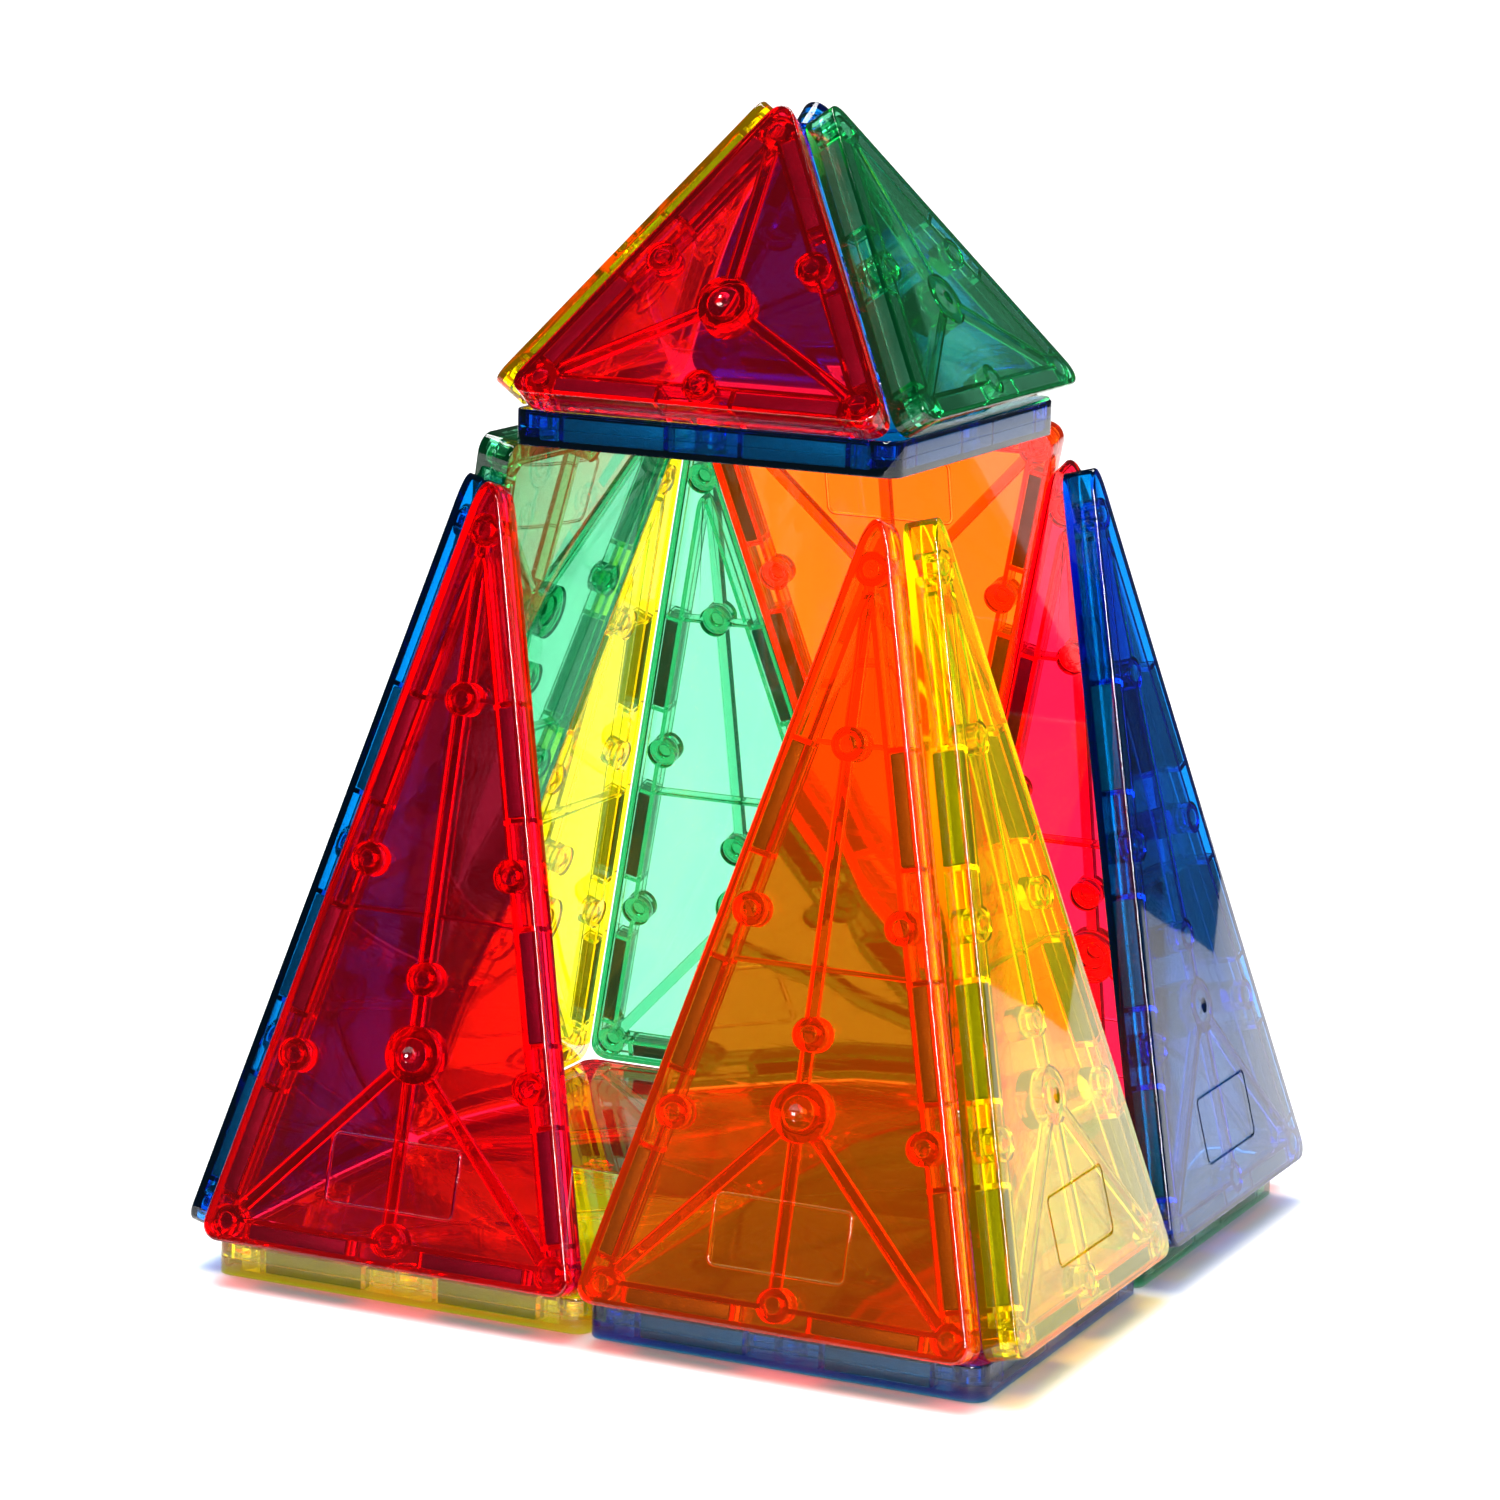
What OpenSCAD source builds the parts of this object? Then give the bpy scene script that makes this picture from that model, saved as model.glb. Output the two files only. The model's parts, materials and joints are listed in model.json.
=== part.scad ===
// Tower of magnetic building tiles: a square frustum with a pyramid roof.
// Every tile is two half shells welded face to face, with bar magnets trapped along its edges.
// Origin: middle of the footprint, on the table. +Z up, the front of the tower faces -Y.

/* [Tile] */
// Edge of a square tile, and the short edge of every triangle
edge = 75; // [60:1:100]
// Height of the tall triangle above its short edge
tall_h = 148; // [120:1:180]
// Thickness of a tile
tile_t = 6.5; // [5.4:0.1:8]
// Radius of a tile's corners
corner_r = 3.2; // [2:0.1:4]
// Room that a tile leaves inside each of its edge lines
edge_gap = 0.1; // [0.05:0.01:0.2]

/* [Half shells] */
// Thickness of the clear face
skin = 1.2; // [0.8:0.1:1.6]
// Thickness of the wall round the edge
edge_wall = 1.2; // [0.8:0.1:1.6]
// Thickness of a thin rib
thin_rib = 0.9; // [0.6:0.1:1.2]
// Width of the broad ribs that leave the middle post
broad_rib = 2.2; // [1.6:0.1:3]
// Height of the broad ribs above the clear face
broad_rib_h = 1.6; // [1:0.1:2]

/* [Magnets] */
// Length of a bar magnet
magnet_l = 19.5; // [14:0.5:22]
// Width of a bar magnet across the edge of the tile
magnet_w = 2.5; // [2:0.1:3]
// Gap along the edge between a corner post and the first magnet
magnet_gap = 0.32; // [0.3:0.02:2]
// Clearance round a magnet in its pocket
magnet_play = 0.15; // [0.1:0.05:0.3]

/* [Weld posts] */
// Outer radius of an ordinary post
post_r = 3; // [2.4:0.1:3.4]
// Radius of the pin inside an ordinary post
pin_r = 1.5; // [1:0.1:1.8]
// Outer radius of the middle post
middle_post_r = 5.2; // [4:0.1:6]
// Radius of the pin inside the middle post
middle_pin_r = 3; // [2:0.1:3.4]
// Radial clearance between a pin and its post
pin_play = 0.1; // [0.05:0.01:0.2]
// Distance from an edge line to the axes of the posts beside it
post_inset = 5; // [4.6:0.1:6]
// Distance from both edge lines to the axis of the post in a corner
corner_inset = 4; // [3.6:0.1:4.2]
// Height of the middle post above the short edge of a tall triangle
tall_middle_y = 38; // [30:1:44]
// Height of the upper spine post above the middle post
spine_step = 13.5; // [11:0.5:16]

/* [Blank panel] */
// Width of the engraved outline on a tall triangle
panel_w = 26; // [20:1:30]
// Height of the engraved outline
panel_h = 13; // [9:1:15]
// Height of its middle above the short edge
panel_y = 16.5; // [15:0.5:18]
// Width and depth of the engraved line
panel_line = 0.3; // [0.2:0.05:0.4]

/* [Hidden] */
$fn = 32;
corner_steps = 5;
roof_h = edge * sqrt(3) / 2;
mid_z = tile_t / 2;
pocket_inset = edge_gap + edge_wall;
pocket_w = magnet_w + 2 * magnet_play;
rail_inset = pocket_inset + pocket_w;
rail_past = 0.5;
cavity_h = tile_t - 2 * skin;
magnet_h = cavity_h - magnet_play;
// Distance from a corner to the middle of its first magnet, the same on every edge so that tiles match:
// the corner post of an equilateral triangle reaches furthest along the edge
magnet_at = corner_inset / tan(30) + post_r + magnet_gap + magnet_l / 2;
dimple_ball = 2.2;
dimple_depth = 0.6;

// How far each kind of tile leans from upright, and where the crown lies
wall_lean = asin(edge / 2 / tall_h);
roof_lean = asin(edge / 2 / roof_h);
crown_z = tile_t + tall_h * cos(wall_lean);

// Corners of the three kinds of tile: the short edge lies on y = 0, centred on x = 0
SQUARE = [[-edge / 2, 0], [edge / 2, 0], [edge / 2, edge], [-edge / 2, edge]];
TALL = [[-edge / 2, 0], [edge / 2, 0], [0, tall_h]];
ROOF = [[-edge / 2, 0], [edge / 2, 0], [0, roof_h]];

// name, corners, colour, how it stands, side of the tower, place along that side in half edges
TILES = [
    ["base_front_left", SQUARE, "gold", "lying", 0, [-1, -1]],
    ["base_front_right", SQUARE, "dodgerblue", "lying", 0, [1, -1]],
    ["base_rear_right", SQUARE, "mediumseagreen", "lying", 0, [1, 1]],
    ["base_rear_left", SQUARE, "crimson", "lying", 0, [-1, 1]],
    ["front_wall_left", TALL, "crimson", "wall", 0, -1],
    ["front_wall_right", TALL, "orangered", "wall", 0, 1],
    ["right_wall_front", TALL, "gold", "wall", 1, -1],
    ["right_wall_rear", TALL, "dodgerblue", "wall", 1, 1],
    ["rear_wall_right", TALL, "crimson", "wall", 2, -1],
    ["rear_wall_left", TALL, "mediumseagreen", "wall", 2, 1],
    ["left_wall_rear", TALL, "gold", "wall", 3, -1],
    ["left_wall_front", TALL, "dodgerblue", "wall", 3, 1],
    ["rear_wall_middle", TALL, "orangered", "hanging", 2, 0],
    ["left_wall_middle", TALL, "mediumseagreen", "hanging", 3, 0],
    ["crown", SQUARE, "dodgerblue", "crown", 0, [0, 0]],
    ["roof_front", ROOF, "crimson", "roof", 0, 0],
    ["roof_right", ROOF, "mediumseagreen", "roof", 1, 0],
    ["roof_rear", ROOF, "dodgerblue", "roof", 2, 0],
    ["roof_left", ROOF, "gold", "roof", 3, 0]
];
PIECES = ["outer_shell", "inner_shell", "magnets"];

// ---- plane geometry ----

function unit(v) = v / norm(v);
function next(points, i) = points[(i + 1) % len(points)];
function before(points, i) = points[(i + len(points) - 1) % len(points)];

// Where the two lines that run a distance inside both edges of corner i meet
function inner_corner(points, i, inset) =
    let (
        along = unit(next(points, i) - points[i]),
        back = unit(before(points, i) - points[i]),
        half_angle = acos(along * back) / 2
    )
    points[i] + unit(along + back) * inset / sin(half_angle);

// Outline a distance inside the edge lines, with every corner rounded to a radius
function outline(points, inset, r) = [
    for (i = [0 : len(points) - 1])
        let (
            centre = inner_corner(points, i, inset + r),
            edge_in = points[i] - before(points, i),
            edge_out = next(points, i) - points[i],
            start = atan2(-edge_in[0], edge_in[1]),
            turn = (atan2(-edge_out[0], edge_out[1]) - start + 360) % 360
        )
        for (step = [0 : corner_steps])
            let (angle = start + turn * step / corner_steps)
            centre + r * [cos(angle), sin(angle)]
];

// A point so far along edge i, and so far inside it
function beside_edge(points, i, along, inset) =
    let (direction = unit(next(points, i) - points[i]))
    points[i] + along * direction + inset * [-direction[1], direction[0]];

function edge_length(points, i) = norm(next(points, i) - points[i]);
function edge_angle(points, i) =
    let (run = next(points, i) - points[i])
    atan2(run[1], run[0]);

// Middles of the magnets on an edge. A long edge meets two square tiles, but has no room at its tip.
function magnet_row(points, i) =
    let (
        length = edge_length(points, i),
        from_foot = [magnet_at, edge - magnet_at, edge + magnet_at]
    )
    length < edge * 1.2 ? [magnet_at, length - magnet_at]
        : i == 1 ? from_foot
        : [for (foot = from_foot) length - foot];

// Middle post
function middle(points) =
    points == TALL ? [0, tall_middle_y] : [0, points == ROOF ? edge / sqrt(12) : edge / 2];

// Posts beside the gaps between magnets
function edge_posts(points) = [
    for (i = [0 : len(points) - 1])
        let (length = edge_length(points, i), long = length > edge * 1.2)
        for (foot = long ? [edge / 2, edge] : [length / 2])
            beside_edge(points, i, long && i == 2 ? length - foot : foot, post_inset)
];
function corner_posts(points) = [for (i = [0 : len(points) - 1]) inner_corner(points, i, corner_inset)];

// Half width of a tall triangle, inside its pocket rails, at a height
function tall_half_width(y) =
    edge / 2 * (1 - y / tall_h) - (rail_inset + thin_rib / 2) / cos(asin(edge / 2 / edge_length(TALL, 1)));
function up_long_edge(along) = along * tall_h / edge_length(TALL, 1);
upper_bar_y = up_long_edge(edge + magnet_at + magnet_l / 2);
lower_bar_y = up_long_edge(edge - magnet_at + magnet_l / 2);
function spine_posts(points) =
    points == TALL ? [[0, tall_middle_y + spine_step], [0, upper_bar_y]] : [];

function small_posts(points) = concat(edge_posts(points), corner_posts(points), spine_posts(points));

// ---- shapes in the plane of a tile: inner face on z = 0, outer face on z = tile_t ----

module plate(points, inset, z, h) {
    translate([0, 0, z])
        linear_extrude(height = h)
            polygon(outline(points, inset, corner_r - inset + edge_gap));
}

// A straight rib between two points
module rib(from, to, width, z, h) {
    run = to - from;
    translate([from[0], from[1], z])
        rotate([0, 0, atan2(run[1], run[0])])
            translate([0, -width / 2, 0])
                cube([norm(run), width, h]);
}

// A place on an edge: x runs along it, y points into the tile
module on_edge(points, i, along) {
    spot = beside_edge(points, i, along, 0);
    translate([spot[0], spot[1], 0])
        rotate([0, 0, edge_angle(points, i)])
            children();
}

module for_each_magnet(points) {
    for (i = [0 : len(points) - 1])
        for (along = magnet_row(points, i))
            on_edge(points, i, along) children();
}

// Rails behind the magnets, parallel to every edge, each run a little past the place where two meet
module pocket_rails(points, z, h) {
    inset = rail_inset + thin_rib / 2;
    for (i = [0 : len(points) - 1]) {
        from = inner_corner(points, i, inset);
        to = inner_corner(points, (i + 1) % len(points), inset);
        past = unit(to - from) * rail_past;
        rib(from - past, to + past, thin_rib, z, h);
    }
}

// Short walls at both ends of every magnet
module pocket_ends(points, z, h) {
    end_at = magnet_l / 2 + magnet_play;
    for_each_magnet(points)
        for (side = [-1, 1])
            translate([side > 0 ? end_at : -end_at - thin_rib, pocket_inset - edge_wall / 2, z])
                cube([thin_rib, pocket_w + edge_wall / 2 + thin_rib / 2, h]);
}

// Broad ribs from the middle post to the corner posts, and to the foot of a tall triangle
module broad_ribs(points, z, h) {
    for (corner = corner_posts(points))
        rib(middle(points), corner, broad_rib, z, h);
    if (points == TALL)
        rib(middle(points), beside_edge(points, 0, edge / 2, post_inset), broad_rib, z, h);
}

// Thin bars across a tall triangle, from rail to rail
module cross_bars(z, h) {
    for (y = [lower_bar_y, upper_bar_y])
        rib([-tall_half_width(y), y], [tall_half_width(y), y], thin_rib, z, h);
}

module posts(points, z, h) {
    for (p = small_posts(points))
        translate([p[0], p[1], z]) cylinder(r = post_r, h = h);
    translate([middle(points)[0], middle(points)[1], z]) cylinder(r = middle_post_r, h = h);
}

// Pins, or with play the sockets that they sit in
module pins(points, z, h, play) {
    for (p = small_posts(points))
        translate([p[0], p[1], z]) cylinder(r = pin_r + play, h = h);
    translate([middle(points)[0], middle(points)[1], z]) cylinder(r = middle_pin_r + play, h = h);
}

module edge_ring(points, z, h) {
    difference() {
        plate(points, edge_gap, z, h);
        plate(points, pocket_inset, z - 1, h + 2);
    }
}

module blank_panel_groove() {
    translate([-panel_w / 2, panel_y - panel_h / 2, tile_t - panel_line])
        difference() {
            cube([panel_w, panel_h, 2 * panel_line]);
            translate([panel_line, panel_line, -panel_line])
                cube([panel_w - 2 * panel_line, panel_h - 2 * panel_line, 4 * panel_line]);
        }
}

// ---- the three pieces of a tile ----

module outer_shell(points) {
    half = mid_z - skin;
    difference() {
        union() {
            plate(points, edge_gap, tile_t - skin, skin);
            edge_ring(points, mid_z, half + skin / 2);
            pocket_rails(points, mid_z, half + skin / 2);
            pocket_ends(points, mid_z, half + skin / 2);
            posts(points, mid_z, half + skin / 2);
            broad_ribs(points, tile_t - skin - broad_rib_h, broad_rib_h + skin / 2);
        }
        pins(points, mid_z - 1, half + 1, pin_play);
        translate([middle(points)[0], middle(points)[1], tile_t + dimple_ball - dimple_depth])
            sphere(r = dimple_ball);
        if (points == TALL) blank_panel_groove();
    }
}

module inner_shell(points) {
    half = mid_z - skin;
    plate(points, edge_gap, 0, skin);
    edge_ring(points, skin / 2, half + skin / 2);
    pocket_rails(points, skin / 2, half + skin / 2);
    pocket_ends(points, skin / 2, half + skin / 2);
    posts(points, skin / 2, half + skin / 2);
    pins(points, skin / 2, cavity_h + skin / 2 - pin_play, 0);
    if (points == TALL) cross_bars(skin / 2, half);
}

module magnets(points) {
    for_each_magnet(points)
        translate([-magnet_l / 2, pocket_inset + magnet_play, skin])
            cube([magnet_l, magnet_w, magnet_h]);
}

// ---- where each tile stands in the tower ----

// Leaning in from a line on one side: the inner face's short edge lies on that line
module leaning(side, along, out, z, lean) {
    rotate([0, 0, 90 * side])
        translate([along, -out, z])
            rotate([90 - lean, 0, 0])
                children();
}

module placed(tile) {
    stand = tile[3];
    side = tile[4];
    spot = tile[5];
    if (stand == "lying")
        translate([spot[0] * edge / 2, (spot[1] - 1) * edge / 2, 0]) children();
    if (stand == "crown")
        translate([0, -edge / 2, crown_z]) children();
    if (stand == "wall")
        leaning(side, spot * edge / 2, edge, tile_t, wall_lean) children();
    if (stand == "hanging")
        leaning(side, 0, edge, tile_t, wall_lean)
            translate([0, tall_h, 0]) rotate([0, 0, 180]) children();
    if (stand == "roof")
        leaning(side, 0, edge / 2, crown_z + tile_t, roof_lean) children();
}

for (tile = TILES) {
    points = tile[1];
    placed(tile) color(tile[2]) outer_shell(points);
    placed(tile) color(tile[2]) inner_shell(points);
    placed(tile) color("dimgray") magnets(points);
}
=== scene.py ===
"""Looks for the magnetic tile tower: clear coloured shells, bar magnets, studio light and camera."""

import json
import math

import bmesh
import bpy
from mathutils import Matrix, Vector

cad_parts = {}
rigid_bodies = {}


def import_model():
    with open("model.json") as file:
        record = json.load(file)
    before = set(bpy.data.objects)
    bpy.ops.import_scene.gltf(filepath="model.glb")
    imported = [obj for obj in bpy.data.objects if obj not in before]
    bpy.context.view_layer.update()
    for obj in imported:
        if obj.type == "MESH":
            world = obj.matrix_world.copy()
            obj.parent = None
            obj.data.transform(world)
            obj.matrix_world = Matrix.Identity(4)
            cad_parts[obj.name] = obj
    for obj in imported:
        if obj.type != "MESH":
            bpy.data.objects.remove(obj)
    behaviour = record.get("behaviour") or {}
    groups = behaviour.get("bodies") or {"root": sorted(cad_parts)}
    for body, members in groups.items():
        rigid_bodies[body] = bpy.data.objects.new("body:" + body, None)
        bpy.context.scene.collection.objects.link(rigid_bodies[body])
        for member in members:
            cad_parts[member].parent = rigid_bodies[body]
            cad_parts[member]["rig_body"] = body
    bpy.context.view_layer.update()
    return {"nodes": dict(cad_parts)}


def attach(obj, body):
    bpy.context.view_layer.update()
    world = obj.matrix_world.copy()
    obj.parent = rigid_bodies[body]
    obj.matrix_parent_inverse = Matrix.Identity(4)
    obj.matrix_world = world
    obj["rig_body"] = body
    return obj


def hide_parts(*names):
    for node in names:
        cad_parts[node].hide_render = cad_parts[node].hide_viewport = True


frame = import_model()
scene = bpy.context.scene

# ---- sizes of a tile, in millimetres, as in the CAD model, but for the panel's wider line ----
EDGE = 75
TALL_H = 148
TILE_T = 6.5
CORNER_R = 3.2
EDGE_GAP = 0.1
SKIN = 1.2
EDGE_WALL = 1.2
THIN_RIB = 0.9
RAIL_BEND = 0.6
BROAD_RIB = 2.2
BROAD_RIB_H = 1.6
MAGNET_L = 19.5
MAGNET_W = 2.5
MAGNET_GAP = 0.32
MAGNET_PLAY = 0.15
POST_R = 3
PIN_R = 1.5
MIDDLE_POST_R = 5.2
MIDDLE_PIN_R = 3
PIN_PLAY = 0.1
POST_INSET = 5
CORNER_INSET = 4
TALL_MIDDLE_Y = 38
SPINE_STEP = 13.5
PANEL_W = 26
PANEL_H = 13
PANEL_Y = 16.5
PANEL_LINE = 0.6
DIMPLE_BALL = 2.2
DIMPLE_DEPTH = 0.6

# ---- finer sizes that only the eye needs ----
OUTER_RIM = 0.4  # rounding of the rim on the outside of the tower
INNER_RIM = 0.15  # and on the inside, where tiles meet edge to edge
SEAM = 0.03  # a half shell stops this far short of the weld line
ROOT = 0.4  # depth to which ribs and posts are set into the clear face
DRAFT = 0.06  # lean of the moulded walls over their height
SOFTEN = 0.2  # rounding of the free edges of posts, pins and cross bars
RIB_ROUND = 0.35  # rounding along the top of the broad ribs
MAGNET_ROUND = 0.25
PANEL_R = 1.6
CLEAR = 0.02  # gap between a magnet and the shells above and below it
CREASE = math.radians(24)  # edges sharper than this stay crisp
NEAR = 1e-4  # places closer than this are the same

# ---- sizes that follow from those ----
SHELL_H = TILE_T / 2 - SEAM
POCKET_INSET = EDGE_GAP + EDGE_WALL
POCKET_W = MAGNET_W + 2 * MAGNET_PLAY
RAIL_INSET = POCKET_INSET + POCKET_W
MAGNET_AT = CORNER_INSET * math.sqrt(3) + POST_R + MAGNET_GAP + MAGNET_L / 2
MAGNET_H = TILE_T - 2 * SKIN - 2 * CLEAR
ROOF_H = EDGE * math.sqrt(3) / 2
WALL_LEAN = math.asin(EDGE / 2 / TALL_H)
ROOF_LEAN = math.asin(EDGE / 2 / ROOF_H)
CROWN_Z = TILE_T + TALL_H * math.cos(WALL_LEAN)
METRES = Matrix.Scale(0.001, 4)

SQUARE = [Vector(p) for p in ((-EDGE / 2, 0), (EDGE / 2, 0), (EDGE / 2, EDGE), (-EDGE / 2, EDGE))]
TALL = [Vector(p) for p in ((-EDGE / 2, 0), (EDGE / 2, 0), (0, TALL_H))]
ROOF = [Vector(p) for p in ((-EDGE / 2, 0), (EDGE / 2, 0), (0, ROOF_H))]

# An edge longer than this many short ones takes three magnets
LONG = 1.2

# name, corners, colour, how it stands, side of the tower, place along that side in half edges
TILES = [
    ("base_front_left", SQUARE, "yellow", "lying", 0, (-1, -1)),
    ("base_front_right", SQUARE, "blue", "lying", 0, (1, -1)),
    ("base_rear_right", SQUARE, "green", "lying", 0, (1, 1)),
    ("base_rear_left", SQUARE, "red", "lying", 0, (-1, 1)),
    ("front_wall_left", TALL, "red", "wall", 0, -1),
    ("front_wall_right", TALL, "orange", "wall", 0, 1),
    ("right_wall_front", TALL, "yellow", "wall", 1, -1),
    ("right_wall_rear", TALL, "blue", "wall", 1, 1),
    ("rear_wall_right", TALL, "red", "wall", 2, -1),
    ("rear_wall_left", TALL, "green", "wall", 2, 1),
    ("left_wall_rear", TALL, "yellow", "wall", 3, -1),
    ("left_wall_front", TALL, "blue", "wall", 3, 1),
    ("rear_wall_middle", TALL, "orange", "hanging", 2, 0),
    ("left_wall_middle", TALL, "green", "hanging", 3, 0),
    ("crown", SQUARE, "blue", "crown", 0, (0, 0)),
    ("roof_front", ROOF, "red", "roof", 0, 0),
    ("roof_right", ROOF, "green", "roof", 1, 0),
    ("roof_rear", ROOF, "blue", "roof", 2, 0),
    ("roof_left", ROOF, "yellow", "roof", 3, 0),
]


# ---- places in the plane of a tile ----


def edge_run(corners, i):
    """From corner i to the next."""
    return corners[(i + 1) % len(corners)] - corners[i]


def half_angle(corners, i):
    return edge_run(corners, i).angle(corners[i - 1] - corners[i]) / 2


def inner_corner(corners, i, inset):
    """Where the lines that run a distance inside both edges of corner i meet."""
    inward = edge_run(corners, i).normalized() + (corners[i - 1] - corners[i]).normalized()
    return corners[i] + inward.normalized() * inset / math.sin(half_angle(corners, i))


def beside_edge(corners, i, along, inset):
    run = edge_run(corners, i).normalized()
    return corners[i] + along * run + inset * Vector((-run.y, run.x))


def on_edge(corners, i, along, inset):
    """The place of something beside an edge: x runs along the edge, y points into the tile."""
    run = edge_run(corners, i)
    spot = beside_edge(corners, i, along, inset)
    return Matrix.Translation((spot.x, spot.y, 0)) @ Matrix.Rotation(math.atan2(run.y, run.x), 4, "Z")


def is_long(corners, i):
    return edge_run(corners, i).length > EDGE * LONG


def magnet_row(corners, i):
    """Middles of the magnets on an edge. A long edge has no room at its tip."""
    length = edge_run(corners, i).length
    if not is_long(corners, i):
        return [MAGNET_AT, length - MAGNET_AT]
    from_foot = [MAGNET_AT, EDGE - MAGNET_AT, EDGE + MAGNET_AT]
    return from_foot if i == 1 else [length - foot for foot in from_foot]


def each_magnet(corners):
    return [(i, along) for i in range(len(corners)) for along in magnet_row(corners, i)]


def up_long_edge(along):
    return along * TALL_H / edge_run(TALL, 1).length


UPPER_BAR_Y = up_long_edge(EDGE + MAGNET_AT + MAGNET_L / 2)
LOWER_BAR_Y = up_long_edge(EDGE - MAGNET_AT + MAGNET_L / 2)


def middle(corners):
    if corners is TALL:
        return Vector((0, TALL_MIDDLE_Y))
    return Vector((0, EDGE / math.sqrt(12) if corners is ROOF else EDGE / 2))


def corner_posts(corners):
    return [inner_corner(corners, i, CORNER_INSET) for i in range(len(corners))]


def small_posts(corners):
    posts = corner_posts(corners)
    for i in range(len(corners)):
        length = edge_run(corners, i).length
        for foot in [EDGE / 2, EDGE] if is_long(corners, i) else [length / 2]:
            along = length - foot if i == 2 and is_long(corners, i) else foot
            posts.append(beside_edge(corners, i, along, POST_INSET))
    if corners is TALL:
        posts += [Vector((0, TALL_MIDDLE_Y + SPINE_STEP)), Vector((0, UPPER_BAR_Y))]
    return posts


# ---- solids of a half shell, made with its clear face down on z = 0 ----


def flat_faces(bm, z):
    return [f for f in bm.faces if all(abs(v.co.z - z) < NEAR for v in f.verts)]


def edges_at(bm, z):
    return [e for e in bm.edges if all(abs(v.co.z - z) < NEAR for v in e.verts)]


def round_off(bm, edges, width, segments):
    bmesh.ops.bevel(
        bm,
        geom=edges,
        offset=width,
        segments=segments,
        profile=0.5,
        affect="EDGES",
        material=-1,
    )


def prism(corners, inset, radius, low, high, segments=8):
    """An upright prism that follows a tile's outline, with its standing edges rounded."""
    bm = bmesh.new()
    points = [inner_corner(corners, i, inset) for i in range(len(corners))]
    foot = bm.faces.new([bm.verts.new((p.x, p.y, low)) for p in points])
    grown = bmesh.ops.extrude_face_region(bm, geom=[foot])["geom"]
    risen = [v for v in grown if isinstance(v, bmesh.types.BMVert)]
    bmesh.ops.translate(bm, verts=risen, vec=(0, 0, high - low))
    bmesh.ops.recalc_face_normals(bm, faces=bm.faces)
    for i, p in enumerate(points):
        standing = [e for e in bm.edges if all((v.co.xy - p).length < 10 * NEAR for v in e.verts)]
        round_off(bm, standing, radius / math.tan(half_angle(corners, i)), segments)
    return bm


def tray(corners, rim):
    """The clear face and the wall round it, as one shallow moulding."""
    bm = prism(corners, EDGE_GAP, CORNER_R, 0, SHELL_H, 10)
    round_off(bm, edges_at(bm, 0), rim, 4)
    floor = flat_faces(bm, SHELL_H)
    bmesh.ops.inset_region(bm, faces=floor, thickness=EDGE_WALL, use_even_offset=True)
    bmesh.ops.inset_region(
        bm, faces=floor, thickness=DRAFT, depth=SKIN - SHELL_H, use_even_offset=True
    )
    return bm


def frame_ring(corners, inset, width, radius, low, high):
    """A closed ring that follows an outline."""
    bm = prism(corners, inset, radius, low, high, 5)
    lids = flat_faces(bm, low) + flat_faces(bm, high)
    for lid in lids:
        bmesh.ops.inset_region(bm, faces=[lid], thickness=width, use_even_offset=True)
    bores = [e for lid in lids for e in lid.edges]
    bmesh.ops.delete(bm, geom=lids, context="FACES_ONLY")
    bmesh.ops.bridge_loops(bm, edges=bores)
    bmesh.ops.recalc_face_normals(bm, faces=bm.faces)
    return bm


def bar(place, length, width, low, high, rounding=0.0):
    """A straight bar along x from its place, with its upper edges rounded."""
    bm = bmesh.new()
    bmesh.ops.create_cube(bm, size=1)
    bmesh.ops.scale(bm, verts=bm.verts, vec=(length, width, high - low))
    bmesh.ops.translate(bm, verts=bm.verts, vec=(length / 2, 0, (low + high) / 2))
    if rounding:
        round_off(bm, edges_at(bm, high), rounding, 2)
    bmesh.ops.transform(bm, matrix=place, verts=bm.verts)
    return bm


def bar_between(start, end, width, low, high, rounding=0.0):
    run = end - start
    place = Matrix.Translation((start.x, start.y, 0)) @ Matrix.Rotation(math.atan2(run.y, run.x), 4, "Z")
    return bar(place, run.length, width, low, high, rounding)


def round_bar(spot, radius, low, high, rounding=0.0, segments=28, lean=0.0):
    """An upright post, a pin, or the cutter for a socket."""
    bm = bmesh.new()
    bmesh.ops.create_cone(
        bm,
        cap_ends=True,
        segments=segments,
        radius1=radius + lean,
        radius2=radius,
        depth=high - low,
    )
    bmesh.ops.translate(bm, verts=bm.verts, vec=(spot.x, spot.y, (low + high) / 2))
    if rounding:
        round_off(bm, edges_at(bm, high), rounding, 2)
    return bm


def posts(corners):
    low = SKIN - ROOT
    made = [round_bar(p, POST_R, low, SHELL_H, SOFTEN, lean=DRAFT) for p in small_posts(corners)]
    return made + [round_bar(middle(corners), MIDDLE_POST_R, low, SHELL_H, SOFTEN, 40, DRAFT)]


def pins(corners, low, high, play, rounding=0.0):
    """The pins, or with play the cutters for their sockets."""
    made = [round_bar(p, PIN_R + play, low, high, rounding, 20) for p in small_posts(corners)]
    return made + [round_bar(middle(corners), MIDDLE_PIN_R + play, low, high, rounding, 28)]


def pocket_walls(corners):
    """Rails behind the magnets, and a short wall at both ends of each."""
    low = SKIN - ROOT
    made = [frame_ring(corners, RAIL_INSET, THIN_RIB, RAIL_BEND + THIN_RIB, low, SHELL_H)]
    reach = MAGNET_L / 2 + MAGNET_PLAY
    start = POCKET_INSET - EDGE_WALL / 2
    for i, along in each_magnet(corners):
        for end in (-reach - THIN_RIB / 2, reach + THIN_RIB / 2):
            across = on_edge(corners, i, along + end, start) @ Matrix.Rotation(math.pi / 2, 4, "Z")
            made.append(bar(across, POCKET_W + EDGE_WALL / 2 + THIN_RIB / 2, THIN_RIB, low, SHELL_H))
    return made


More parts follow.
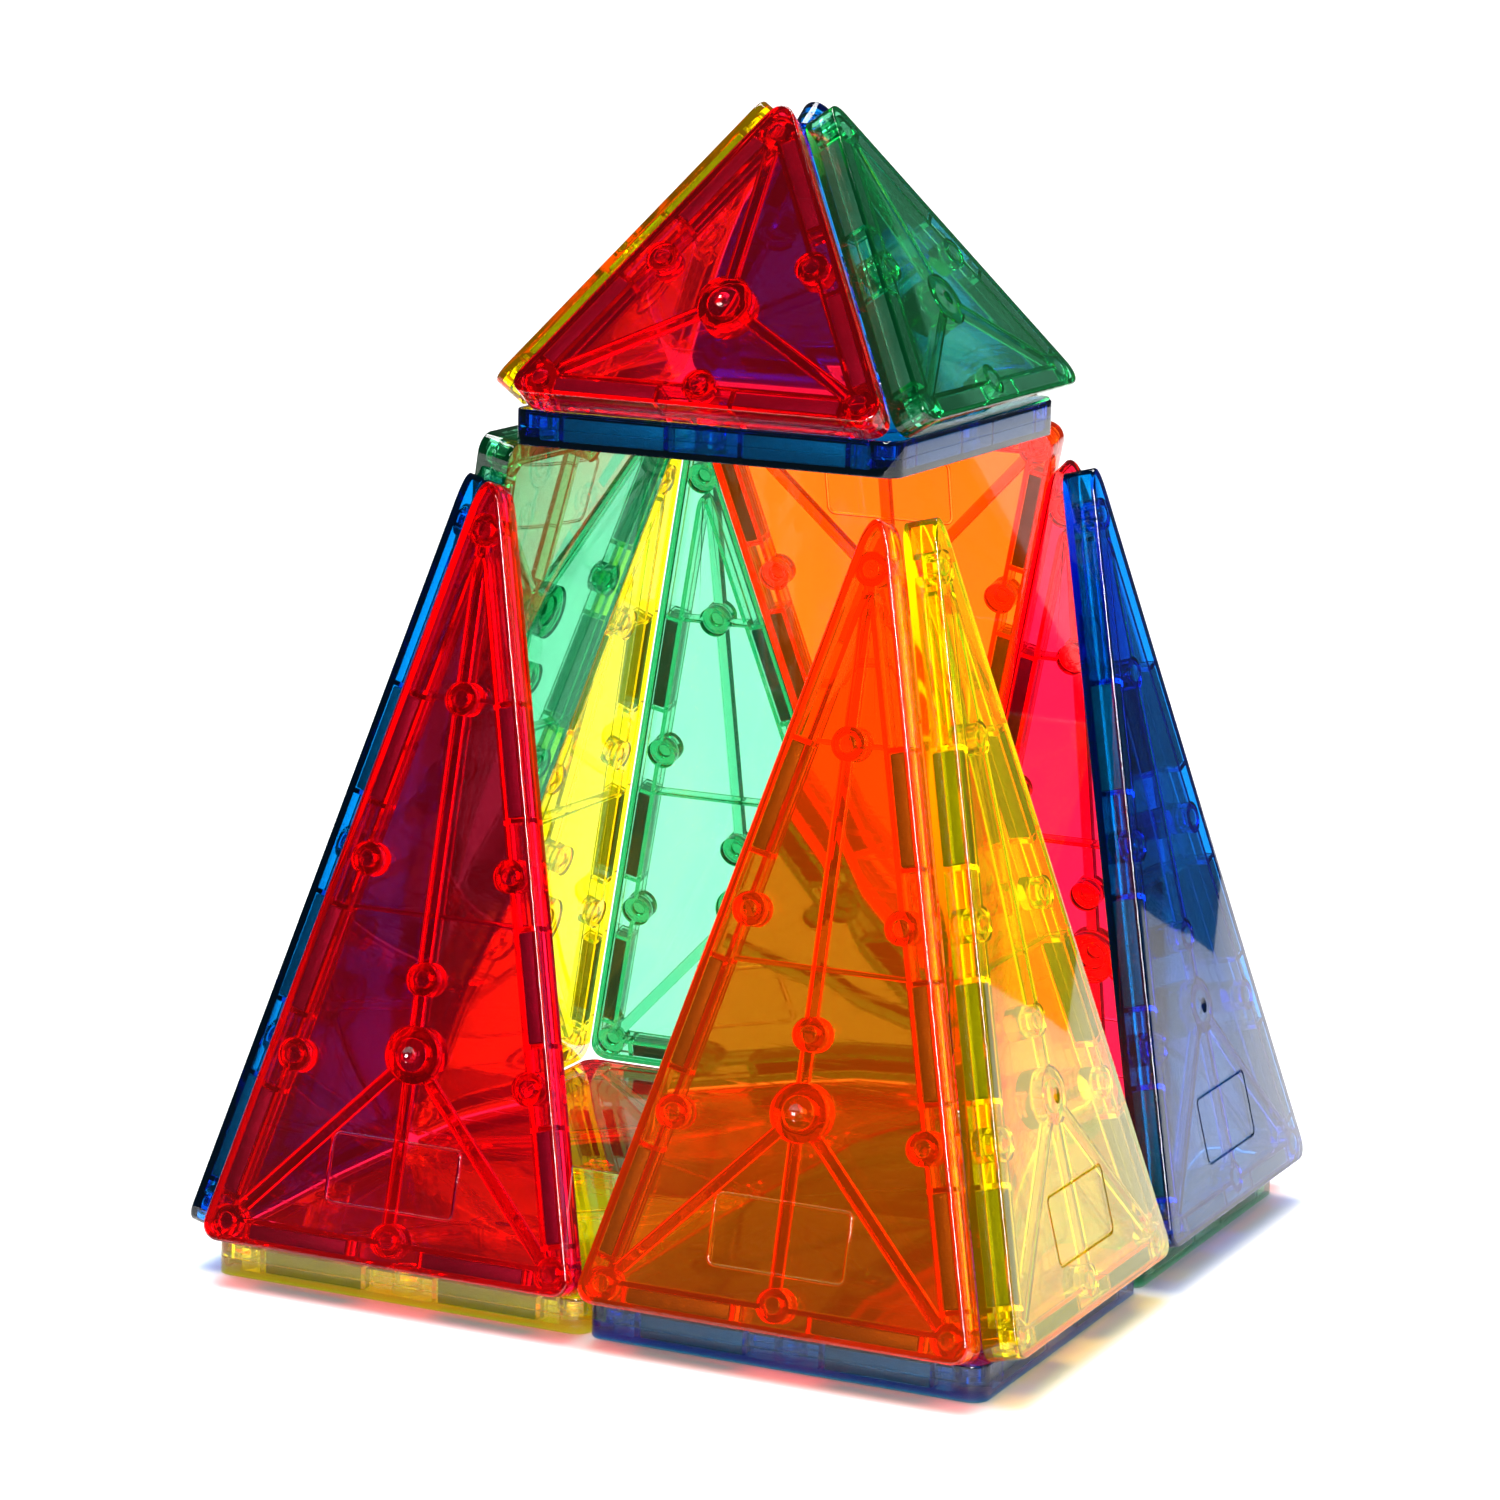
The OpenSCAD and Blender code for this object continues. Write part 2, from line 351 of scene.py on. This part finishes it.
def broad_ribs(corners):
    ends = corner_posts(corners)
    if corners is TALL:
        ends.append(beside_edge(corners, 0, EDGE / 2, POST_INSET))
    return [
        bar_between(middle(corners), end, BROAD_RIB, SKIN - ROOT, SKIN + BROAD_RIB_H, RIB_ROUND)
        for end in ends
    ]


def cross_bars():
    made = []
    for y in (LOWER_BAR_Y, UPPER_BAR_Y):
        reach = EDGE / 2 * (1 - y / TALL_H) - (RAIL_INSET + THIN_RIB / 2) / math.cos(WALL_LEAN)
        ends = Vector((-reach, y)), Vector((reach, y))
        made.append(bar_between(*ends, THIN_RIB, SKIN - ROOT, SHELL_H, SOFTEN))
    return made


def panel_line():
    """Cutter for the fine outline of the blank panel on a tall triangle."""
    low, high = PANEL_Y - PANEL_H / 2, PANEL_Y + PANEL_H / 2
    side = PANEL_W / 2
    panel = [Vector(p) for p in ((-side, low), (side, low), (side, high), (-side, high))]
    bm = frame_ring(panel, 0, PANEL_LINE, PANEL_R, -1, PANEL_LINE)
    round_off(bm, edges_at(bm, PANEL_LINE), PANEL_LINE / 3, 3)
    return bm


def dimple(corners):
    bm = bmesh.new()
    bmesh.ops.create_uvsphere(bm, u_segments=24, v_segments=16, radius=DIMPLE_BALL)
    spot = middle(corners)
    bmesh.ops.translate(bm, verts=bm.verts, vec=(spot.x, spot.y, DIMPLE_DEPTH - DIMPLE_BALL))
    return bm


# ---- joining and cutting ----


def as_object(bm, name):
    mesh = bpy.data.meshes.new(name)
    bm.to_mesh(mesh)
    bm.free()
    made = bpy.data.objects.new(name, mesh)
    scene.collection.objects.link(made)
    return made


def combine(body, parts, operation):
    """Adds parts to a body, or cuts them from it, one Boolean for them all."""
    group = bpy.data.collections.new("parts")
    scene.collection.children.link(group)
    for part in parts:
        made = as_object(part, "part")
        scene.collection.objects.unlink(made)
        group.objects.link(made)
    boolean = body.modifiers.new("combine", "BOOLEAN")
    boolean.operation = operation
    boolean.operand_type = "COLLECTION"
    boolean.collection = group
    boolean.solver = "MANIFOLD"
    bpy.context.view_layer.update()
    seen = body.evaluated_get(bpy.context.evaluated_depsgraph_get())
    result = bpy.data.meshes.new_from_object(seen)
    body.modifiers.clear()
    body.data = result
    for made in list(group.objects):
        bpy.data.objects.remove(made)
    bpy.data.collections.remove(group)


def finish_mesh(body):
    """Takes the finished half shell out of its object, merged and smooth."""
    bm = bmesh.new()
    bm.from_mesh(body.data)
    bmesh.ops.remove_doubles(bm, verts=bm.verts, dist=NEAR)
    bmesh.ops.dissolve_degenerate(bm, edges=bm.edges, dist=NEAR)
    for face in bm.faces:
        face.smooth = True
    mesh = bpy.data.meshes.new(body.name)
    bm.to_mesh(mesh)
    bm.free()
    bpy.data.objects.remove(body)
    return mesh


def outer_shell(corners):
    """The half with the sockets, turned so that its clear face is on the tile's outside."""
    body = as_object(tray(corners, OUTER_RIM), "outer_shell")
    combine(body, posts(corners) + pocket_walls(corners) + broad_ribs(corners), "UNION")
    cuts = pins(corners, SKIN, TILE_T, PIN_PLAY) + [dimple(corners)]
    if corners is TALL:
        cuts.append(panel_line())
    combine(body, cuts, "DIFFERENCE")
    mesh = finish_mesh(body)
    mesh.transform(Matrix.Translation((0, 0, TILE_T)) @ Matrix.Diagonal((1, 1, -1, 1)))
    mesh.flip_normals()
    return mesh


def inner_shell(corners):
    """The half with the pins."""
    body = as_object(tray(corners, INNER_RIM), "inner_shell")
    parts = posts(corners) + pocket_walls(corners)
    parts += pins(corners, SKIN, TILE_T - SKIN - PIN_PLAY, 0, SOFTEN)
    if corners is TALL:
        parts += cross_bars()
    combine(body, parts, "UNION")
    return finish_mesh(body)


def magnets(corners):
    """Every bar magnet of a tile, ground square with its edges broken."""
    whole = bmesh.new()
    for i, along in each_magnet(corners):
        place = on_edge(corners, i, along - MAGNET_L / 2, POCKET_INSET + MAGNET_PLAY + MAGNET_W / 2)
        one = bar(Matrix.Identity(4), MAGNET_L, MAGNET_W, SKIN + CLEAR, SKIN + CLEAR + MAGNET_H)
        round_off(one, one.edges[:], MAGNET_ROUND, 2)
        bmesh.ops.transform(one, matrix=place, verts=one.verts)
        step = bpy.data.meshes.new("magnet")
        one.to_mesh(step)
        one.free()
        whole.from_mesh(step)
        bpy.data.meshes.remove(step)
    for face in whole.faces:
        face.smooth = True
    mesh = bpy.data.meshes.new("magnets")
    whole.to_mesh(mesh)
    whole.free()
    return mesh


# ---- where each tile stands in the tower ----


def leaning(side, along, out, z, lean):
    """A tile that leans in from a line on one side of the tower."""
    return (
        Matrix.Rotation(side * math.pi / 2, 4, "Z")
        @ Matrix.Translation((along, -out, z))
        @ Matrix.Rotation(math.pi / 2 - lean, 4, "X")
    )


def placed(stand, side, spot):
    if stand == "lying":
        return Matrix.Translation((spot[0] * EDGE / 2, (spot[1] - 1) * EDGE / 2, 0))
    if stand == "crown":
        return Matrix.Translation((0, -EDGE / 2, CROWN_Z))
    if stand == "wall":
        return leaning(side, spot * EDGE / 2, EDGE, TILE_T, WALL_LEAN)
    if stand == "hanging":
        hung = Matrix.Translation((0, TALL_H, 0)) @ Matrix.Rotation(math.pi, 4, "Z")
        return leaning(side, 0, EDGE, TILE_T, WALL_LEAN) @ hung
    return leaning(side, 0, EDGE / 2, CROWN_Z + TILE_T, ROOF_LEAN)


# ---- materials ----


class Link:
    """One output of a material's node. Arithmetic on it adds Math nodes."""

    def __init__(self, finish, socket):
        self.finish = finish
        self.socket = socket

    def maths(self, operation, first, second):
        return self.finish.node("ShaderNodeMath", {"operation": operation}, {0: first, 1: second})

    def __add__(self, other):
        return self.maths("ADD", self, other)

    def __sub__(self, other):
        return self.maths("SUBTRACT", self, other)

    def __mul__(self, other):
        return self.maths("MULTIPLY", self, other)

    def __rsub__(self, other):
        return self.maths("SUBTRACT", other, self)

    __radd__ = __add__
    __rmul__ = __mul__


class Finish:
    """A material, or the studio's surroundings, and the nodes that make it."""

    def __init__(self, owner):
        self.owner = owner
        owner.use_nodes = True
        self.tree = owner.node_tree
        self.tree.nodes.clear()

    def node(self, kind, settings=None, sockets=None, output=0):
        made = self.tree.nodes.new(kind)
        for name, value in (settings or {}).items():
            if name == "stops":
                self.set_stops(made, value)
            else:
                setattr(made, name, value)
        for name, value in (sockets or {}).items():
            if isinstance(value, Link):
                self.tree.links.new(value.socket, made.inputs[name])
            else:
                made.inputs[name].default_value = value
        return Link(self, made.outputs[output])

    @staticmethod
    def set_stops(ramp, stops):
        elements = ramp.color_ramp.elements
        while len(elements) < len(stops):
            elements.new(1)
        for element, (position, colour) in zip(elements, stops):
            element.position = position
            element.color = colour

    def noise(self, scale, detail=2.0):
        place = self.node("ShaderNodeTexCoord", output="Object")
        return self.node("ShaderNodeTexNoise", None, {"Vector": place, "Scale": scale, "Detail": detail})

    def streaks(self, scale):
        """Fine straight scratches, two sets of them crossing."""
        place = self.node("ShaderNodeTexCoord", output="Object")
        marks = 0.0
        for turn in ((0.5, 0.3, 0.4), (-0.4, 0.6, -0.7)):
            turned = self.node(
                "ShaderNodeMapping", None, {"Vector": place, "Rotation": turn, "Scale": (0.06, 1, 1)}
            )
            grain = self.node(
                "ShaderNodeTexNoise", None, {"Vector": turned, "Scale": scale, "Detail": 1.0}
            )
            line = self.node(
                "ShaderNodeValToRGB",
                {"stops": [(0.7, (0, 0, 0, 1)), (0.74, (1, 1, 1, 1))]},
                {"Fac": grain},
            )
            marks = line * 0.5 + marks
        return marks

    def done(self, kind, sockets):
        """Adds the output node and gives back the finished material or world."""
        end = self.tree.nodes.new(kind)
        for name, link in sockets.items():
            self.tree.links.new(link.socket, end.inputs[name])
        return self.owner


def new_material(name):
    return Finish(bpy.data.materials.new(name))


# Share of red, green and blue that gets through one clear face, and the colour of a painted glow that
# stands in for light caught in the plastic
PLASTICS = {
    "red": ((0.99, 0.11, 0.25), (0.3, 0.0, 0.02)),
    "orange": ((0.995, 0.4, 0.09), (1.2, 0.3, 0.0)),
    "yellow": ((0.99, 0.93, 0.05), (0.55, 0.6, 0.0)),
    "green": ((0.47, 0.82, 0.66), (0.0, 0.35, 0.14)),
    "blue": ((0.05, 0.54, 0.87), (0.0, 0.06, 0.1)),
}
# Strength of the painted glow: an emission on every clear face that stands in for light caught in the
# plastic
PAINTED_GLOW_STRENGTH = 0.05


def clear_plastic(name, through, glow):
    """Tinted clear plastic, coloured by its thickness, with a painted glow (an emission) that stands in
    for light caught in it. Lamps shine through it on to what is behind.
    """
    finish = new_material(name)
    absorbed = [-math.log(share) / (SKIN * 0.001) for share in through]
    density = max(absorbed)
    tint = [1 - a / density for a in absorbed]
    haze = finish.noise(90, 3)
    ripple = finish.noise(22, 1)
    scuffs = finish.streaks(1040)
    uneven = finish.node(
        "ShaderNodeBump",
        None,
        {"Strength": 0.06, "Distance": 0.001, "Height": ripple - scuffs * 0.05},
    )
    plastic = finish.node(
        "ShaderNodeBsdfPrincipled",
        None,
        {
            "Base Color": (1, 1, 1, 1),
            "Roughness": haze * 0.03 + scuffs * 0.12 + 0.01,
            "IOR": 1.49,
            "Transmission Weight": 1.0,
            # Painted glow: emission that brightens the plastic though it is no lamp
            "Emission Color": (*glow, 1),
            "Emission Strength": PAINTED_GLOW_STRENGTH,
            "Normal": uneven,
        },
    )
    lamp_ray = finish.node("ShaderNodeLightPath", output="Is Shadow Ray")
    passing = finish.node("ShaderNodeBsdfTransparent", None, {"Color": (1, 1, 1, 1)})
    surface = finish.node("ShaderNodeMixShader", None, {0: lamp_ray, 1: plastic, 2: passing})
    body = finish.node("ShaderNodeVolumeAbsorption", None, {"Color": (*tint, 1), "Density": density})
    finish.owner.cycles.emission_sampling = "NONE"
    return finish.done("ShaderNodeOutputMaterial", {"Surface": surface, "Volume": body})


def ferrite():
    """Pressed and ground ferrite: dark, dry and a little granular."""
    finish = new_material("magnet_ferrite")
    grain = finish.noise(2600, 6)
    cloud = finish.noise(160, 3)
    colour = finish.node(
        "ShaderNodeValToRGB",
        {"stops": [(0.3, (0.012, 0.011, 0.011, 1)), (0.7, (0.045, 0.042, 0.04, 1))]},
        {"Fac": grain * 0.5 + cloud * 0.5},
    )
    rough = finish.node("ShaderNodeBump", None, {"Strength": 0.3, "Distance": 0.0003, "Height": grain})
    surface = finish.node(
        "ShaderNodeBsdfPrincipled",
        None,
        {
            "Base Color": colour,
            "Roughness": cloud * 0.2 + 0.45,
            "Metallic": 0.2,
            "Normal": rough,
        },
    )
    return finish.done("ShaderNodeOutputMaterial", {"Surface": surface})


# ---- build the tower ----


def bodies_by_node():
    return {node: obj["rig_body"] for node, obj in frame["nodes"].items()}


def add_piece(name, mesh, place, material, body, node):
    """Adds one visible piece, in place of its CAD node and moving with its body."""
    own = mesh.copy()
    own.name = name
    own.transform(METRES @ place)
    own.materials.clear()
    own.materials.append(material)
    piece = bpy.data.objects.new(name, own)
    scene.collection.objects.link(piece)
    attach(piece, body)
    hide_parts(node)
    return piece


def sharpen(mesh):
    """Keeps the moulding's corners crisp and its rounds smooth."""
    mesh.set_sharp_from_angle(angle=CREASE)
    return mesh


def build_tower():
    """Makes the three kinds of tile once, then sets a copy of each piece in its place."""
    kinds = {}
    for corners in (SQUARE, TALL, ROOF):
        kinds[len(corners), corners[-1].y] = {
            "outer_shell": sharpen(outer_shell(corners)),
            "inner_shell": sharpen(inner_shell(corners)),
            "magnets": sharpen(magnets(corners)),
        }
    # Each colour's share let through, and its painted glow
    finishes = {colour: clear_plastic(colour + "_clear_plastic", *dye_and_painted_glow) for colour, dye_and_painted_glow in PLASTICS.items()}
    magnet_finish = ferrite()
    body_of = bodies_by_node()
    for name, corners, colour, stand, side, spot in TILES:
        place = placed(stand, side, spot)
        for piece, mesh in kinds[len(corners), corners[-1].y].items():
            node = name + "_" + piece
            is_magnet = piece == "magnets"
            add_piece(
                name + "_" + piece.replace("shell", "clear_shell").replace("magnets", "bar_magnets"),
                mesh,
                place,
                magnet_finish if is_magnet else finishes[colour],
                body_of[node],
                node,
            )


build_tower()


# ---- studio ----

AIM = Vector((-0.005, -0.002, 0.0917))
CAMERA_AZIMUTH = math.radians(24.6)
CAMERA_ELEVATION = math.radians(11.12)
CAMERA_ROLL = math.radians(1.68)
CAMERA_DISTANCE = 0.926
LENS = 120.6
FLOOR_R = 1.3
FLOOR_MIDDLE = (0.45, 0.7, 0)  # further behind the tower than before it
LAMP_AIM = Vector((0, 0, 0.1))
SURROUND = 1.35  # brightness of the backdrop all round
FRONT_SHARE = 0.2  # and how much of it is left high in front, behind the camera
FIRST_REFLECTION = 0.04  # share of it that shows in the outermost surface
FIRST_DEPTH = 2.5  # a ray that has only glanced off one surface is counted as 2 where it ends


def add_camera():
    data = bpy.data.cameras.new("camera")
    data.lens = LENS
    data.sensor_width = 36
    data.clip_end = 20
    camera = bpy.data.objects.new("camera", data)
    back = Matrix.Rotation(CAMERA_AZIMUTH, 4, "Z") @ Matrix.Rotation(-CAMERA_ELEVATION, 4, "X")
    turned = back @ Matrix.Rotation(math.pi / 2, 4, "X") @ Matrix.Rotation(CAMERA_ROLL, 4, "Z")
    camera.matrix_world = Matrix.Translation(AIM + back @ Vector((0, -CAMERA_DISTANCE, 0))) @ turned
    scene.collection.objects.link(camera)
    scene.camera = camera


def add_floor():
    bm = bmesh.new()
    bmesh.ops.create_circle(bm, cap_ends=True, segments=96, radius=FLOOR_R)
    bmesh.ops.translate(bm, verts=bm.verts, vec=FLOOR_MIDDLE)
    floor = as_object(bm, "floor")
    finish = new_material("floor_white")
    mottle = finish.noise(3, 2)
    surface = finish.node(
        "ShaderNodeBsdfPrincipled",
        None,
        {"Base Color": (0.93, 0.93, 0.93, 1), "Roughness": mottle * 0.1 + 0.5},
    )
    floor.data.materials.append(finish.done("ShaderNodeOutputMaterial", {"Surface": surface}))


def add_lamp(name, place, width, power):
    """A square lamp that faces the tower."""
    data = bpy.data.lights.new(name, "AREA")
    data.shape = "SQUARE"
    data.size = width
    data.energy = power
    lamp = bpy.data.objects.new(name, data)
    facing = (LAMP_AIM - Vector(place)).to_track_quat("-Z", "Y")
    lamp.matrix_world = Matrix.LocRotScale(Vector(place), facing, Vector((1, 1, 1)))
    scene.collection.objects.link(lamp)
    return lamp


def add_surroundings():
    """A white backdrop, dim in front. The outermost faces hardly mirror it, as in a dark studio."""
    finish = Finish(bpy.data.worlds.new("studio"))
    mirrored = finish.node("ShaderNodeLightPath", output="Is Glossy Ray")
    depth = finish.node("ShaderNodeLightPath", output="Ray Depth")
    first = finish.node("ShaderNodeMath", {"operation": "LESS_THAN"}, {0: depth, 1: FIRST_DEPTH})
    towards = finish.node("ShaderNodeTexCoord", output="Generated")
    rearward = finish.node("ShaderNodeSeparateXYZ", None, {"Vector": towards}, "Y")
    upward = finish.node("ShaderNodeSeparateXYZ", None, {"Vector": towards}, "Z")
    in_front = finish.node("ShaderNodeMapRange", None, {"Value": 0 - rearward, "From Max": 0.6})
    raised = finish.node("ShaderNodeMapRange", None, {"Value": upward, "From Min": 0.05, "From Max": 0.2})
    share = 1 - in_front * raised * (1 - FRONT_SHARE)
    strength = (1 - mirrored * first * (1 - FIRST_REFLECTION)) * share * SURROUND
    glow = finish.node("ShaderNodeBackground", None, {"Color": (1, 1, 1, 1), "Strength": strength})
    scene.world = finish.done("ShaderNodeOutputWorld", {"Surface": glow})


def set_light_paths():
    cycles = scene.cycles
    cycles.max_bounces = 40
    cycles.transmission_bounces = 40
    cycles.glossy_bounces = 6
    cycles.diffuse_bounces = 3
    cycles.transparent_max_bounces = 64
    cycles.caustics_reflective = False
    cycles.caustics_refractive = False
    cycles.sample_clamp_indirect = 4


add_camera()
add_floor()
add_surroundings()
add_lamp("key", (0.2, -1.5, 0.9), 0.25, 5)
add_lamp("sparkle", (0.35, -1.5, 0.75), 0.8, 70).visible_diffuse = False
add_lamp("top", (-0.3, 0.2, 1.8), 1.0, 45)
set_light_paths()
scene.view_settings.view_transform = "Standard"
